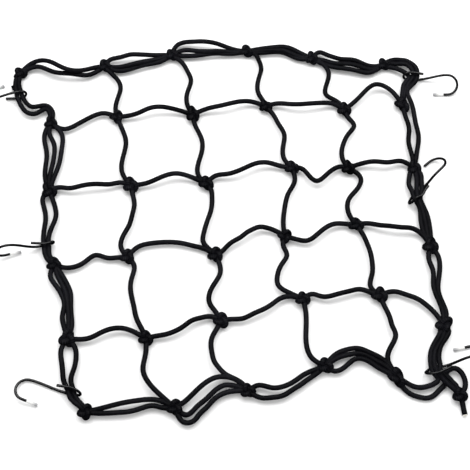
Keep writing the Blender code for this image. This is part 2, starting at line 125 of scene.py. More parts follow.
# from, to, how far the cord bows to its left at equal shares of the way, rise of its middle
CORDS = (
    # the net's rows
    ("L1", "11", -9, -5, 2, 6, 1),
    ("11", "12", 0.5, 2, 6, 7.5, 6.5, 4, 6),
    ("12", "13", 4, 4, 6, 7, 6),
    ("13", "14", 3.5, 2, 1, 2.5, 5, 6, 6),
    ("14", "R1", 8, 18, 25, 21, 5),
    ("L2", "21", 2.5, 0, 0.5, 1.5, 1.5, 1.5, 3.5, 5),
    ("21", "22", 1, 6, 10, 7, 5),
    ("22", "23", 6.5, 5, 5, 7.5, 10, 9, 4, 6),
    ("23", "24", -0.5, -9.5, -17, -11.5, -3.5, 1, 4),
    ("24", "R2", 4, 5, 4, 7, 5),
    ("L3", "31", -4.5, -4.5, 0, 5.5, 1.5, 0.5, 0),
    ("31", "32", 11, 14, 15, 15, 13.5, 10.5, 7, 0),
    ("32", "33", 2, 6, 8.5, 10, 13, 15, 16, 13.5, 8.5, 4),
    ("33", "34", -5, -9, -5, 1, 4, 2.5, 3),
    ("34", "R3", 4.5, 5, 6.5, 8.5, 11.5, 9, 5),
    ("L4", "41", -1, 0, 5, 9, 9.5, 6, 3),
    ("41", "42", 0, -1, -0.5, 2, 6, 7, 6.5, 3),
    ("42", "43", -1.5, -4, -2.5, -1, 2, 6, 5.5, 3),
    ("43", "44", 4.5, 1, 1, 3, 5, 6.5, 3.5, 3),
    ("44", "R4", 10, 12, 13, 11, 7, 1),
    # its columns
    ("T1", "11", 5, 10, 11, 6, 1, 3),
    ("11", "21", 3, 4, -2, -6, 2),
    ("21", "31", 2.5, 4.5, 3, 0.5, -5, -7, 2),
    ("31", "41", 4.5, 0.5, -3.5, -4.5, -4.5, -4.5, -2, 3),
    ("41", "B1", -6, -14, -13, -7, 3),
    ("T2", "12", 8, 10, 10, 2, -2, 3),
    ("12", "22", 0, 2.5, 4, 1.5, -4, -6.5, 3),
    ("22", "32", 4, 4, 3, 1, -2.5, -6, -9, -10.5, -6, 2),
    ("32", "42", 3, 3, -2.5, -8.5, -10, -5, 2),
    ("42", "B2", -8, -15, -18, -19.5, -20, -18, -14.5, -7.5, -2, 3),
    ("T3", "13", 8.5, 9.5, 9.5, 8, 4, 0, -2.5, -2.5, -0.5, 3),
    ("13", "23", 4, 5, 6, 0, -4, 2),
    ("23", "33", 4, -1, -3, -3, 3),
    ("33", "43", -4, -3, -11, -17.5, -19.5, -11.5, 2),
    ("43", "B3", -1, -4, -8, -11, -10, 3),
    ("T4", "14", 7, 7, -1, -9, -2, 3),
    ("14", "24", 3.5, 9, 3, -2.5, -5.5, -5, 2),
    ("24", "34", 11, 6, -5, -6, 3),
    ("34", "44", 3, 4, 4, 2.5, -1, -6, 3),
    ("44", "B4", 1.5, 3.5, 5, 5.5, 7, 3, -3, -5, -2.5, 2),
    # the far side
    ("TL", "T1", 8.5, 11, 9, 3.5, -3.5, -7.5, -7.5, -4.5, -1, 11),
    ("TL", "T1", 6, -4, -8, -10, 4),
    ("T1", "T2", 7, 7, 6.5, 6.5, 5, 3.5, 2.5, 2, 1.5, 5),
    ("T1", "T2", -5, -6, -5, -3, 5),
    ("T1", "T2", -9, -9, -7, -6, 1),
    ("T2", "T3", 13.5, 15, 14, 13, 11.5, 9.5, 6.5, 3.5, 1.5, 5),
    ("T2", "T3", 5, 2, 0, 0, -1, 4),
    ("T2", "T3", -2, -2, -1, -2, 1),
    ("T3", "T4", 4, 6, 8, 5, 5),
    ("T3", "T4", 2, 4, 4, 0, 3),
    ("T3", "T4", 0, 3, 3, -2, 0),
    ("T4", "TR", 8.5, 5.5, 2, -0.5, -0.5, -0.5, -2.5, -4, -3, 5),
    ("T4", "TR", -2, -6, -6, -7, -8, 5),
    ("T4", "TR", -7, -10, -11, -12, 2),
    # the right side
    ("R1", "R2", 1, 2, -1, 0, 2),
    ("R3", "R4", -4, -2, -4, -2, 1, 2),
    ("R3", "R4", 5.5, 5, 2, -0.5, 1.5, 4, 3),
    # the near side
    ("B4", "B3", -11.5, -16.5, -19, -21, -19, -14, 4),
    ("B4", "B3", -9, -13, -17, -15, -10, 2),
    ("B4", "B3", -3.5, -7, -11.5, -12, -3, 3.5, 1),
    ("B3", "B2", 0.5, 2, 5.5, 7, 4.5, -2, 3),
    ("B3", "B2", 4, 7, 10, 12.5, 14.5, 13, 10, 1),
    ("B2", "B1", -13, -17.5, -18.5, -16.5, -12.5, -7.5, -3, 4),
    ("B2", "B1", -7, -10, -7, -1, 4, 9, 2),
    ("B2", "B1", -2, -3, -3, -1.5, 2, 7, 11, 16, 16, 1),
    ("B1", "BL", -8, -8, -6, -3, 3),
    ("B1", "BL", -0.5, -3, -1, 1.5, 2, 2, 1.5, 1),
    # the left side
    ("L4", "L3", 1, 1, -3, -2, 2, 5.5, 2),
    ("L4", "L3", -4, -6, -6, -2, 4),
    ("L4", "L3", -6, -7.5, -9, -10.5, -8.5, -5, 1),
    ("L2", "L1", 4, 4, 3, 5, 6, 2),
    ("L2", "L1", 0, -3, -5, -4, 1, 4),
    ("L2", "L1", -5, -10, -12, -12, 1),
)

# where a hook's eye gathers the border: x, y, direction of the border, direction of the hook, cords,
# distance of the outer cords from the eye's middle
EYES = {
    "TR": (188.5, 182.3, -75, -0.3, 3, 4.6),
    "MR": (182.2, 38.9, -85, 42.6, 3, 3.2),
    "BR": (186.6, -142.2, -98, 12.4, 3, 4),
    "BL": (-151.2, -161.3, 110, 161, 2, 2.3),
    "ML": (-185.1, -13.2, 100, 197.6, 2, 2.3),
    "TL": (-226.5, 158.6, 112, 196.5, 2, 2.3),
}

# from, eye, to, place in the eye (1 outside, -1 inside, 0 on top), then how far the cord bows to its left
# at equal shares of the way to the eye, and as many of the way on
EYE_CORDS = (
    # the outer cord passes beside the next knot
    (
        "TR", "TR", "R2", 1, 6, 9, 11, 12, 13, 13.5, 13, 12, 10.5, 7.5,
        -3, -10, -7, -3.5, -1.5, 0.5, 3, 3.5, 2.5, 1.5,
    ),
    ("TR", "TR", "R1", 0, 5, 8, 11, 9, -1, -2, -2, -1),
    ("TR", "TR", "R1", -1, 1, 3, 3, -3, -3, -2),
    ("R2", "MR", "R3", 1, 5, 5, 4, 3, 1, 3, 3, 2),
    ("R2", "MR", "R3", 0, 1, 1, 0, 1, 1, 0),
    ("R2", "MR", "R3", -1, -4, -5, -5, -2, 2, 0, -2, -2),
    ("R4", "BR", "BR", 1, 5, 4, 2, -0.5, -2, -2.5, -2.5, -1.5, -0.5, 1, 1.5, 2, 2.5, 2.5, 3, 3, 2, 1.5),
    ("R4", "BR", "BR", 0, 1, -3, -4, -1, -1, 0),
    ("BL", "BL", "L4", 1, 0, 1, 2, 2, 4, 5, 6, 6),
    ("BL", "BL", "L4", -1, -1, 0, 1, 1, 1, -3, -6, -6),
    ("L3", "ML", "L2", 1, 2, 3, 3.5, 3, 2.5, 1, 1, 1, 0.5, 1.5, 4, 5.5),
    ("L3", "ML", "L2", -1, 1, 2, 1, -2, -7, -5),
    ("L1", "TL", "TL", 1, -4.5, -8, -9, 3, 6.5, 7.5, 6.5, 5, 2.5, 0.5, 1.5, 2, 3, 3.5, 3.5, 3.5, 3, 2),
    ("L1", "TL", "TL", -1.25, -10, -10, 2, 3, 1, 2, 2, 1),
)

# border cords given place by place: from, the places each passes, and the knot it runs to or how it ends
LOOPS = (
    (
        "R4",
        (
            (194.5, -103.6, 5.2), (190.6, -110.2, 5.6), (186.2, -117.3, 6), (183.4, -123.8, 6.3),
            (182.4, -129.7, 6), (182.4, -135.6, 5.8), (183, -141, 6), (186.1, -146.4, 6.1),
            (188.2, -150.2, 6), (185.2, -153.6, 5.5), (179.3, -156.2, 5), (171.8, -157.6, 4.6),
            (165.4, -156.7, 4.6), (160.0, -154.0, 4.8), (155.2, -150.9, 4.8),
        ),
        "B4",
    ),
    (
        "B4",
        (
            (155.4, -157.3, 3.6), (162.0, -163.2, 2.8), (170.6, -166.3, 2.6), (177.9, -167.0, 2.6),
            (184.6, -163.8, 2.6), (190.1, -158.4, 2.6), (195.2, -153.6, 2.6), (197.0, -148.0, 3),
            (196.5, -143.5, 4.2), (200.0, -140.4, 5), (204.8, -139.2, 5), (209.2, -141.8, 4.8),
            (212.3, -147.5, 4.6), (213.2, -154.2, 4.6), (211.3, -160.0, 4.8),
        ),
        "BR",
    ),
    (
        "BR",
        (
            (208.8, -170.1, 3.6), (209.6, -175.6, 2.8), (210.5, -183.0, 2.6),
        ),
        "cut",
    ),
    (
        "TL",
        (
            (-230.7, 179.9, 3.2), (-231.4, 175.2, 2.8), (-233.2, 171.2, 2.6), (-236, 169.9, 2.6),
        ),
        "sealed",
    ),
)

# eye, leg over the border (1) or under it (-1), how far left of the eye's middle its tail starts and right of
# it its leg, tail and how far left its end lies, how far the leg stays low under the border's cords, leg,
# straight run to the tip, height of the leg's end and of the round end's, side to which the round end turns
# (1 left, -1 right), whether the tip has a cap
HOOKS = (
    ("TR", -1, 1, 10, -0.8, 9, 35.7, 4.2, 10.6, 1.9, -1, True),
    ("MR", -1, -3.9, 13.4, -1, 13.5, 40, 6.4, 14, 1.9, 1, False),
    ("BR", -1, -3.9, 13.7, -1.2, 7.5, 40, 5.7, 17.2, 1.9, 1, True),
    ("BL", -1, -1.6, 12.8, 0.7, 0, 39.8, 4.5, 1.9, 5.5, 1, True),
    ("ML", -1, 1.9, 13.4, -3.2, 5, 38.8, 2.6, 24.4, 4, 1, True),
    ("TL", 1, 0.5, 14.4, -3.2, 0, 35, 11.4, 10.6, 1.9, -1, True),
)

# the hooks' own shape
EYE_CLEAR = 5.2  # from a gathered cord's middle to the wire's middle
EYE_TURN_DEG = 30.0
UNDER_RISE = 0.3  # of a leg from under the first gathered cord to where it comes out from under the last
CLIMB_AT = 0.7  # share of a leg's length at which it has most of its end's height
CLIMBED = 0.75  # the share of the height that it has there
BEND_R = 10.2
BEND_TURN_DEG = 20.0
CAP_GAP = 0.3
CAP_LENGTH = 10.5
LYING_Z = 1.9  # of the middle of a cap's nose that lies on the surface
CAP_STEP = 0.25  # between two rings of a cap's mesh
CAP_SIDES = 20
# along a cap, and the share of its radius there: open lip, straight wall, round nose
CAP_PROFILE = (
    (0, 0.74), (0.15, 0.92), (0.6, 1), (2.4, 0.97), (8.2, 0.9), (9.4, 0.8), (10.1, 0.55), (10.45, 0.2)
)
WIRE_STEP = 0.6  # between two rings of a wire's mesh, in wire radii
WIRE_SIDES = 16
WIRE_END = 0.04  # a wire's last ring is as thick as its round end is this many wire radii further in

# the knots' own shape, and the rubber threads' in a cut end
KNOT_RINGS = 54  # rings of the mesh along one knot's cord
LOOP_TURN_DEG = 120  # from one loop of a knot to the next
THREAD_RINGS = 3  # one thread, six round it and twelve round those
THREAD_SIDES = 8
THREAD_FIT = 5.6  # thread radii in the cord's radius
THREAD_PITCH = 2.05  # between two rings of threads, in thread radii
THREAD_LENGTH = 1.4  # half of it inside the cord
WELD = 1e-6  # metres between two mesh points that are made one

# ---------------------------------------------------------------- what the finishes show
# a braid of 8 carriers each way round a 15.7 mm girth has picks about 2 mm wide, drawn coarse enough to show
CARRIERS = 8
PICKS = 6.5  # along one girth's length of cord, each 2.4 mm long
# how many times a metre each unevenness comes
FIBRE_GRAIN = 900.0  # 1.1 mm apart, coarser than real fibres so that it shows
# painted sheen: stretches where the paler colour painted on the crowns is stronger and weaker
SHEEN_STRETCHES = 28.0  # paler and darker stretches of about 36 mm
RUBBER_GRAIN = 1500.0  # 0.7 mm
COAT_WAVES = 160.0  # 6 mm, where the dip ran and set
COAT_SCUFFS = 700.0  # 1.4 mm
VINYL_GRAIN = 1200.0  # 0.8 mm
PAPER_TONE = 3.0  # a third of a metre

# ---------------------------------------------------------------- how the photo was taken, and the studio
LOOK_AT = (0.019, 0.024, 0.0)
VIEW_DISTANCE = 1.042
VIEW_ELEVATION = math.radians(65)
HALF_VIEW = math.radians(12.6)
SENSOR = 0.036
LAMP_AT = (0.45, 0.5, 1.15)  # of the right lamp, from the point looked at; the left one is its mirror image
LAMP_SIZE = 0.8
FLOOR_SIZE = 6.0
FLOOR_CELLS = 4
FLOOR_Z = -0.2 * MM  # just under the plane on which the knots lie, so that no two faces share it


# ---------------------------------------------------------------- settings
def linear(color):
    """A colour given as sRGB hex, such as 14141a, as linear red, green, blue and alpha."""
    shares = [int(color[i : i + 2], 16) / 255 for i in (0, 2, 4)]
    return (*[c / 12.92 if c <= 0.04045 else ((c + 0.055) / 1.055) ** 2.4 for c in shares], 1.0)


def color_property(name, description, color):
    """A colour that a user can change, given as sRGB hex."""
    return FloatVectorProperty(
        name=name, description=description, default=linear(color), size=4, min=0, max=1, subtype="COLOR"
    )


class CordSettings(bpy.types.PropertyGroup):
    radius: FloatProperty(
        name="Radius", description="Half the cord's thickness", default=2.5 * MM, unit="LENGTH"
    )
    step: FloatProperty(
        name="Step",
        description="Distance between two rings of a cord's mesh",
        default=2.4 * MM,
        unit="LENGTH",
    )
    sides: IntProperty(name="Sides", description="Faces round a cord", default=12, min=6)
    ground: color_property("Ground colour", "The braid between the crowns of its picks", "010102")
    # painted sheen: this paler colour is painted on the crowns of the picks in place of a highlight
    gleam: color_property("Gleam colour", "The crowns where they catch the light most", "36363e")


class KnotSettings(bpy.types.PropertyGroup):
    loop_radius: FloatProperty(
        name="Loop radius",
        description="From a knot's middle to its loops' middle",
        default=5.6 * MM,
        unit="LENGTH",
    )
    loop_rise: FloatProperty(
        name="Loop rise",
        description="How far a loop passes over and under",
        default=2.3 * MM,
        unit="LENGTH",
    )
    lift: FloatProperty(
        name="Lift",
        description="How far a knot's middle lies above that of the cords that run into it",
        default=0.7 * MM,
        unit="LENGTH",
    )
    tilt: FloatProperty(
        name="Tilt", description="How far a knot may lean", default=math.radians(6), subtype="ANGLE"
    )
    unevenness: FloatProperty(
        name="Unevenness", description="Share by which a knot may be wider or narrower", default=0.1
    )
    seed: IntProperty(name="Seed", description="Chooses how each knot leans and how wide it is", default=4)


class HookSettings(bpy.types.PropertyGroup):
    wire_radius: FloatProperty(
        name="Wire radius",
        description="Half the coated wire's thickness",
        default=1.3 * MM,
        unit="LENGTH",
    )
    cap_radius: FloatProperty(
        name="Cap radius", description="Half the tip cap's thickness", default=1.5 * MM, unit="LENGTH"
    )
    coat: color_property("Coat colour", "The wire's coat", "060607")
    scuffed: color_property("Scuffed colour", "The coat where it is scuffed", "131316")
    cap_wall: color_property("Cap colour", "The tip cap's open, hollow part", "e4e4e2")
    # painted shade: the greyer colour drawn on the cap's nose, standing in for the refraction and shadow in
    # it
    cap_nose: color_property("Cap nose colour", "The tip cap's solid nose", "9c9c9e")


class StageSettings(bpy.types.PropertyGroup):
    side_light: FloatProperty(
        name="Side lights", description="Power of each of the two soft lamps", default=9.0, unit="POWER"
    )
    sky: FloatProperty(name="Sky", description="Strength of the even light all round", default=0.86)


# ---------------------------------------------------------------- helpers
def join(tree, node, links):
    """Links or sets the inputs that links names. A node given there stands for its first output."""
    for key, value in links.items():
        if isinstance(value, bpy.types.Node):
            value = value.outputs[0]
        if isinstance(value, bpy.types.NodeSocket):
            tree.links.new(value, node.inputs[key])
        else:
            node.inputs[key].default_value = value


def add(tree, kind, links=None, **settings):
    """Adds a node to a tree, with its settings, and joins it to what links names."""
    node = tree.nodes.new(kind)
    for name, value in settings.items():
        setattr(node, name, value)
    join(tree, node, links or {})
    return node


def smooth(points, step):
    """Points about a step apart on a natural cubic spline through the given ones."""
    points = np.array(points, float)
    spans = np.linalg.norm(np.diff(points, axis=0), axis=1)
    places = np.concatenate([[0.0], np.cumsum(spans)])
    last = len(points) - 1
    system = np.eye(last + 1)
    pull = np.zeros_like(points)
    slopes = np.diff(points, axis=0) / spans[:, None]
    for i in range(1, last):
        system[i, i - 1 : i + 2] = (spans[i - 1], 2 * (spans[i - 1] + spans[i]), spans[i])
        pull[i] = 6 * (slopes[i] - slopes[i - 1])
    bend = np.linalg.solve(system, pull)
    at = np.linspace(0, places[-1], max(2, round(places[-1] / step)) + 1)
    i = np.clip(np.searchsorted(places, at, side="right") - 1, 0, last - 1)
    before = (at - places[i])[:, None]
    after = (places[i + 1] - at)[:, None]
    span = spans[i][:, None]
    return (
        (bend[i] * after**3 + bend[i + 1] * before**3) / (6 * span)
        + (points[i] / span - bend[i] * span / 6) * after
        + (points[i + 1] / span - bend[i + 1] * span / 6) * before
    )


def in_frame(points):
    """Table points in millimetres as points of the model in metres."""
    shift = np.array((*KNOTS[ORIGIN_KNOT][:2], 0.0))
    return (np.array(points, float) - shift) * MM


def guide(name, paths, values=()):
    """An object of bare edges, one chain for each path, with a number at each point for each named value."""
    mesh = bpy.data.meshes.new(name)
    points = [tuple(point) for path in paths for point in path]
    edges = []
    first = 0
    for path in paths:
        edges += [(first + i, first + i + 1) for i in range(len(path) - 1)]
        first += len(path)
    mesh.from_pydata(points, edges, [])
    for value, numbers in dict(values).items():
        mesh.attributes.new(value, "FLOAT", "POINT").data.foreach_set("value", numbers)
    made = bpy.data.objects.new(name, mesh)
    bpy.context.scene.collection.objects.link(made)
    return made


def grown(made, tree, **inputs):
    """The object's mesh as a Geometry Nodes tree makes it, with the modifier gone and every hole closed."""
    modifier = made.modifiers.new("grown", "NODES")
    modifier.node_group = tree
    for item in tree.interface.items_tree:
        if item.item_type == "SOCKET" and item.in_out == "INPUT" and item.name in inputs:
            modifier[item.identifier] = inputs[item.name]
    bpy.context.view_layer.update()
    graph = bpy.context.evaluated_depsgraph_get()
    mesh = bpy.data.meshes.new_from_object(made.evaluated_get(graph))
    made.modifiers.remove(modifier)
    old = made.data
    made.data = mesh
    bpy.data.meshes.remove(old)
    mesh.name = made.name
    closed = bmesh.new()
    closed.from_mesh(mesh)
    bmesh.ops.holes_fill(closed, edges=[e for e in closed.edges if e.is_boundary], sides=0)
    bmesh.ops.recalc_face_normals(closed, faces=closed.faces)
    closed.to_mesh(mesh)
    closed.free()
    return made


def dress(piece, slot, *nodes):
    """Ties a finished piece to the model."""
    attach(piece, BODY)
    if nodes:
        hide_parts(*nodes)


# ---------------------------------------------------------------- routes
def bowed(start, end, bows):
    """The plan points at equal shares of the way from start to end, each pushed to the left by its bow."""
    start = np.array(start, float)
    end = np.array(end, float)
    way = end - start
    left = np.array([-way[1], way[0]]) / np.linalg.norm(way)
    count = len(bows) + 1
    return [start + way * (i + 1) / count + left * bow for i, bow in enumerate(bows)]


def cord_route(row):
    """A cord from knot to knot, rising in its middle."""
    start, end, *bows, rise = row
    plan = [KNOTS[start][:2], *bowed(KNOTS[start][:2], KNOTS[end][:2], bows), KNOTS[end][:2]]
    last = len(plan) - 1
    return [(x, y, KNOT_Z + rise * math.sin(math.pi * i / last) ** 2) for i, (x, y) in enumerate(plan)]


def top_rise(spread):
    """How far a third cord lies above two that are this far from the middle between them."""
    return math.sqrt(max(0, GATHER_PITCH**2 - spread**2))


def eye_place(eye, place):
    """Where a gathered cord runs through its eye."""
    x, y, border, hook, _, spread = EYES[eye]
    across = math.radians(border + (90 if math.cos(math.radians(hook - border - 90)) > 0 else -90))
    side = spread * place
    height = GATHER_Z + (0 if place else top_rise(spread))
    return x + side * math.cos(across), y + side * math.sin(across), height


def eye_route(row):
    """A border cord from knot to eye to knot."""
    start, eye, end, place, *bows = row
    middle = eye_place(eye, place)
    half = len(bows) // 2
    points = [(*KNOTS[start][:2], KNOT_Z)]
    for i, (x, y) in enumerate(bowed(KNOTS[start][:2], middle[:2], bows[:half])):
        points.append((x, y, KNOT_Z + (middle[2] - KNOT_Z) * (i + 1) / (half + 1)))
    points.append(middle)
    for i, (x, y) in enumerate(bowed(middle[:2], KNOTS[end][:2], bows[half:])):
        points.append((x, y, middle[2] + (KNOT_Z - middle[2]) * (i + 1) / (half + 1)))
    points.append((*KNOTS[end][:2], KNOT_Z))
    return points


def loop_route(row):
    """A border cord from its knot over the places of its row to its other knot, or to its free end."""
    start, places, end = row
    last = [(*KNOTS[end][:2], KNOT_Z)] if end in KNOTS else []
    return [(*KNOTS[start][:2], KNOT_Z), *places, *last]


def hook_route(row):
    """The wire from the cut tail, round the border, along the leg and round the bend, and the tip's end."""
    eye, over, shift, tail, tail_left, under, leg, tip_run, leg_z, bend_z, turn, _ = row
    x, y, border, heading, cords, spread = EYES[eye]
    widen = 1 / abs(math.sin(math.radians(heading - border)))
    middles = [(-spread * widen, GATHER_Z), (spread * widen, GATHER_Z)]
    if cords == 3:
        middles.append((0, GATHER_Z + top_rise(spread)))

    def round_border(angle):
        """The point of the eye that faces this way, a fixed distance outside the gathered cords."""
        u, z = math.cos(angle), math.sin(angle)
        far = max(middles, key=lambda m: m[0] * u + m[1] * z)
        return far[0] + EYE_CLEAR * widen * u, far[1] + EYE_CLEAR * z

    count = round(180 / EYE_TURN_DEG)
    turns = [90 + EYE_TURN_DEG * i for i in range(count + 1)]
    if over == 1:
        turns.reverse()
    ring = [round_border(math.radians(angle)) for angle in turns]
    local = [(tail, tail_left, ring[0][1]), (tail / 2, (shift + tail_left) / 2, ring[0][1])]
    local += [(u, shift * (1 - 2 * i / count), z) for i, (u, z) in enumerate(ring)]
    if under:
        local.append((under, -shift, ring[-1][1] + UNDER_RISE))
    local.append((leg * CLIMB_AT, -shift, ring[-1][1] + (leg_z - ring[-1][1]) * CLIMBED))
    drop = (bend_z - leg_z) / (2 * BEND_R)
    swing = turn * math.sqrt(1 - drop**2)
    for i in range(round(180 / BEND_TURN_DEG) + 1):
        angle = math.radians(BEND_TURN_DEG * i)
        out, across = BEND_R * math.sin(angle), BEND_R * (1 - math.cos(angle))
        local.append((leg + out, -shift + across * swing, leg_z + across * drop))
    tip_drop = (bend_z - LYING_Z) * tip_run / (tip_run + CAP_GAP + CAP_LENGTH)
    local.append(tuple(np.array(local[-1]) - (tip_run, 0, tip_drop)))
    ahead = math.radians(heading)
    cos, sin = math.cos(ahead), math.sin(ahead)
    return [(x + u * cos - s * sin, y + u * sin + s * cos, z) for u, s, z in local]


# ---------------------------------------------------------------- Geometry Nodes
def new_tree(name, sizes):
    """A tree that takes geometry and the named sizes, with its output's type set, and what it is given."""
    tree = bpy.data.node_groups.new(name, "GeometryNodeTree")
    tree.interface.new_socket("Geometry", in_out="INPUT", socket_type="NodeSocketGeometry")
    for size, kind in sizes.items():
        tree.interface.new_socket(size, in_out="INPUT", socket_type=f"NodeSocket{kind}")
    tree.interface.new_socket("Geometry", in_out="OUTPUT", socket_type="NodeSocketGeometry")
    return tree, add(tree, "NodeGroupInput").outputs


def end_tree(tree, geometry, material):
    """The tree, once what it makes is real and has its finish."""
    real = add(tree, "GeometryNodeRealizeInstances", {"Geometry": geometry})
    painted = add(tree, "GeometryNodeSetMaterial", {"Geometry": real, "Material": material})
    add(tree, "NodeGroupOutput", {"Geometry": painted})
    return tree


def swept(tree, curve, radius, sides):
    """A round skin along a curve. Its UV map holds turns round the cord, and length over the cord's girth."""
    spline = add(tree, "GeometryNodeSplineParameter").outputs
    along = add(tree, "GeometryNodeCaptureAttribute", domain="POINT")
    along.capture_items.new("FLOAT", "along")
    join(tree, along, {"Geometry": curve, "along": spline["Length"]})
    points = add(tree, "ShaderNodeMath", {0: sides, 1: 1.0}, operation="ADD")
    arc = add(
        tree,
        "GeometryNodeCurveArc",
        {"Resolution": points, "Radius": radius, "Start Angle": 0.0, "Sweep Angle": TURN},
    )
    around = add(tree, "GeometryNodeCaptureAttribute", domain="POINT")
    around.capture_items.new("FLOAT", "around")
    join(tree, around, {"Geometry": arc, "around": spline["Factor"]})
    skin = add(tree, "GeometryNodeCurveToMesh", {"Curve": along, "Profile Curve": around})
    girth = add(tree, "ShaderNodeMath", {0: radius, 1: TURN}, operation="MULTIPLY")
    lengths = add(tree, "ShaderNodeMath", {0: along.outputs["along"], 1: girth}, operation="DIVIDE")
    place = add(tree, "ShaderNodeCombineXYZ", {"X": around.outputs["around"], "Y": lengths})
    mapped = add(
        tree,
        "GeometryNodeStoreNamedAttribute",
        {"Geometry": skin, "Name": "UVMap", "Value": place},
        data_type="FLOAT2",
        domain="CORNER",
    )
    welded = add(tree, "GeometryNodeMergeByDistance", {"Geometry": mapped, "Distance": WELD})
    return add(tree, "GeometryNodeSetShadeSmooth", {"Geometry": welded})


def sweep_tree(name, material):
    """Chains of edges as round cords or wires. A point's thickness is its share of the radius."""
    tree, given = new_tree(name, {"Radius": "Float", "Sides": "Int"})
    thickness = add(tree, "GeometryNodeInputNamedAttribute", {"Name": "thickness"}, data_type="FLOAT")
    path = add(tree, "GeometryNodeMeshToCurve", {"Mesh": given["Geometry"]})
    sized = add(tree, "GeometryNodeSetCurveRadius", {"Curve": path, "Radius": thickness})
    return end_tree(tree, swept(tree, sized, given["Radius"], given["Sides"]), material)


def knot_tree(material):
    """A knot at each point: a cord in three crossing loops, turned by the point's turn, a little uneven."""
    tree, given = new_tree(
        "tied_knots",
        {
            "Loop radius": "Float",
            "Loop rise": "Float",
            "Cord radius": "Float",
            "Sides": "Int",
            "Tilt": "Float",
            "Unevenness": "Float",
            "Seed": "Int",
        },
    )
    ring = add(tree, "GeometryNodeCurvePrimitiveCircle", {"Resolution": KNOT_RINGS, "Radius": 1.0})
    share = add(tree, "GeometryNodeSplineParameter").outputs["Factor"]
    angle = add(tree, "ShaderNodeMath", {0: share, 1: TURN}, operation="MULTIPLY")

    def wave(kind, times):
        """The sine or cosine of so many times the angle."""
        multiple = add(tree, "ShaderNodeMath", {0: angle, 1: times}, operation="MULTIPLY")
        return add(tree, "ShaderNodeMath", {0: multiple}, operation=kind)

    # the cord's middle is a trefoil: sin a + 2 sin 2a, cos a - 2 cos 2a, -sin 3a
    waves = {0: wave("SINE", 2.0), 1: 2.0, 2: wave("SINE", 1.0)}
    wide = add(tree, "ShaderNodeMath", waves, operation="MULTIPLY_ADD")
    waves = {0: wave("COSINE", 2.0), 1: -2.0, 2: wave("COSINE", 1.0)}
    deep = add(tree, "ShaderNodeMath", waves, operation="MULTIPLY_ADD")
    high = add(tree, "ShaderNodeMath", {0: wave("SINE", 3.0), 1: -1.0}, operation="MULTIPLY")
    trefoil = add(tree, "ShaderNodeCombineXYZ", {"X": wide, "Y": deep, "Z": high})
    third = add(tree, "ShaderNodeMath", {0: given["Loop radius"], 1: 3.0}, operation="DIVIDE")
    reach = add(tree, "ShaderNodeCombineXYZ", {"X": third, "Y": third, "Z": given["Loop rise"]})
    place = add(tree, "ShaderNodeVectorMath", {0: trefoil, 1: reach}, operation="MULTIPLY")
    loops = add(tree, "GeometryNodeSetPosition", {"Geometry": ring, "Position": place})
    one = swept(tree, loops, given["Cord radius"], given["Sides"])

    def drawn(low, high, draw):
        """A number between low and high for each knot, another one for each draw."""
        seed = add(tree, "ShaderNodeMath", {0: given["Seed"], 1: draw}, operation="ADD")
        limits = {2: low, 3: high, "Seed": seed}
        return add(tree, "FunctionNodeRandomValue", limits, data_type="FLOAT").outputs[1]

    turn = add(tree, "GeometryNodeInputNamedAttribute", {"Name": "turn"}, data_type="FLOAT")
    least = add(tree, "ShaderNodeMath", {0: given["Tilt"], 1: -1.0}, operation="MULTIPLY")
    leans = [drawn(least, given["Tilt"], draw) for draw in (0.0, 1.0)]
    facing = add(tree, "ShaderNodeCombineXYZ", {"X": leans[0], "Y": leans[1], "Z": turn})
    narrowest = add(tree, "ShaderNodeMath", {0: 1.0, 1: given["Unevenness"]}, operation="SUBTRACT")
    widest = add(tree, "ShaderNodeMath", {0: 1.0, 1: given["Unevenness"]}, operation="ADD")
    widths = [drawn(narrowest, widest, draw) for draw in (2.0, 3.0)]
    drawn_out = add(tree, "GeometryNodeInputNamedAttribute", {"Name": "drawn_out"}, data_type="FLOAT")
    length = add(tree, "ShaderNodeMath", {0: widths[1], 1: drawn_out}, operation="MULTIPLY")
    size = add(tree, "ShaderNodeCombineXYZ", {"X": widths[0], "Y": length, "Z": 1.0})
    tied = add(
        tree,
        "GeometryNodeInstanceOnPoints",
        {"Points": given["Geometry"], "Instance": one, "Rotation": facing, "Scale": size},
    )
    return end_tree(tree, tied, material)


def thread_tree(material):
    """A short rubber thread at each point, standing out along the point's direction."""
    tree, given = new_tree("rubber_threads", {"Thread radius": "Float", "Thread length": "Float"})
    thread = add(
        tree,
        "GeometryNodeMeshCylinder",
        {"Vertices": THREAD_SIDES, "Radius": given["Thread radius"], "Depth": given["Thread length"]},
    )
    ahead = add(tree, "GeometryNodeInputNamedAttribute", {"Name": "ahead"}, data_type="FLOAT_VECTOR")
    facing = add(tree, "FunctionNodeAlignRotationToVector", {"Vector": ahead}, axis="Z")
    placed = add(
        tree,
        "GeometryNodeInstanceOnPoints",
        {"Points": given["Geometry"], "Instance": thread, "Rotation": facing},
    )
    return end_tree(tree, placed, material)


# ---------------------------------------------------------------- finishes
def new_finish(name):
    made = bpy.data.materials.new(name)
    made.use_nodes = True
    made.node_tree.nodes.clear()
    return made, made.node_tree


def end_finish(tree, sockets):
    """Adds the shader, whose sockets are set or linked as given, and sends it out."""
    shader = add(tree, "ShaderNodeBsdfPrincipled", sockets)
    add(tree, "ShaderNodeOutputMaterial", {"Surface": shader})


